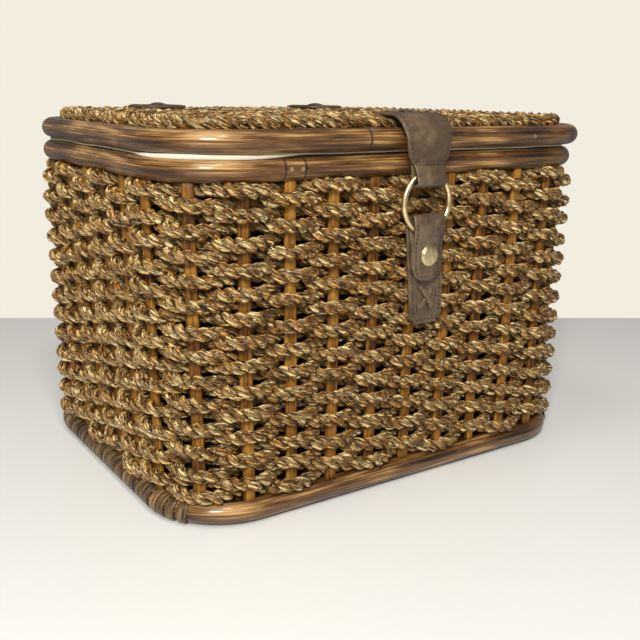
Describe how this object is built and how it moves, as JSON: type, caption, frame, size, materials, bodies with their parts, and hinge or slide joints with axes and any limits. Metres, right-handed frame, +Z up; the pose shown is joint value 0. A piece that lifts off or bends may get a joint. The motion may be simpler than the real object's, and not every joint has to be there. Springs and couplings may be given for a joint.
{
  "type": "lidded basket",
  "caption": "Rectangular woven rope basket with rounded corners, rattan pole rims, cloth lining, a lid on leather hinges and a leather strap, ring and snap closure.",
  "frame": {"origin": "on the ground under the middle of the base", "axes": "+Z up, -Y towards the front with the closure, +X to the right seen from the front"},
  "size_m": [0.3825, 0.3052, 0.2711],
  "materials": {
    "rattan_pole": "varnished, streaked brown",
    "cane": "varnished",
    "rattan_stake": "satin honey brown",
    "grass_rope": "crinkled twisted grass, matt",
    "lining_cloth": "plain cream weave",
    "leather": "satin taupe with stitching",
    "brass": "pale polished",
    "magnet": "plated"
  },
  "bodies": {
    "basket": {"base_rim": "rattan_pole", "base_binding_left": "cane", "base_binding_right": "cane", "base_stakes": "rattan_stake", "base_weave": "grass_rope", "wall_stakes": "rattan_stake", "wall_weave": "grass_rope", "body_rim": "rattan_pole", "rim_tacks": "brass", "basket_lining": "lining_cloth", "latch_strap": "leather", "latch_lace": "leather", "latch_keeper": "brass", "hinge_lower_left": "leather", "hinge_lower_lace_left": "leather", "hinge_lower_right": "leather", "hinge_lower_lace_right": "leather"},
    "lid": {"lid_rim": "rattan_pole", "lid_tack": "brass", "lid_stakes": "rattan_stake", "lid_border_rope": "grass_rope", "lid_weave": "grass_rope", "lid_lining": "lining_cloth", "hinge_upper_left": "leather", "hinge_upper_lace_left": "leather", "hinge_upper_right": "leather", "hinge_upper_lace_right": "leather", "strap_tail": "leather", "strap_tail_lace": "leather"},
    "tab": {"strap_tab": "leather", "strap_loop": "leather"},
    "ring": {"closure_ring": "brass", "snap_fob": "leather", "snap_cap": "brass", "snap_magnet": "magnet"}
  },
  "joints": [
    {"name": "lid_hinge", "type": "hinge", "parent": "basket", "child": "lid", "pos_m": [0, 0.1472, 0.2435], "axis": [-1, 0, 0], "range_deg": [0, 110]},
    {"name": "tab_swing", "type": "hinge", "parent": "lid", "child": "tab", "pos_m": [-0.001, -0.1501, 0.253], "axis": [-1, 0, 0], "range_deg": [0, 60]},
    {"name": "ring_swing", "type": "hinge", "parent": "tab", "child": "ring", "pos_m": [-0.001, -0.15, 0.2295], "axis": [-1, 0, 0], "range_deg": [0, 25]}
  ]
}
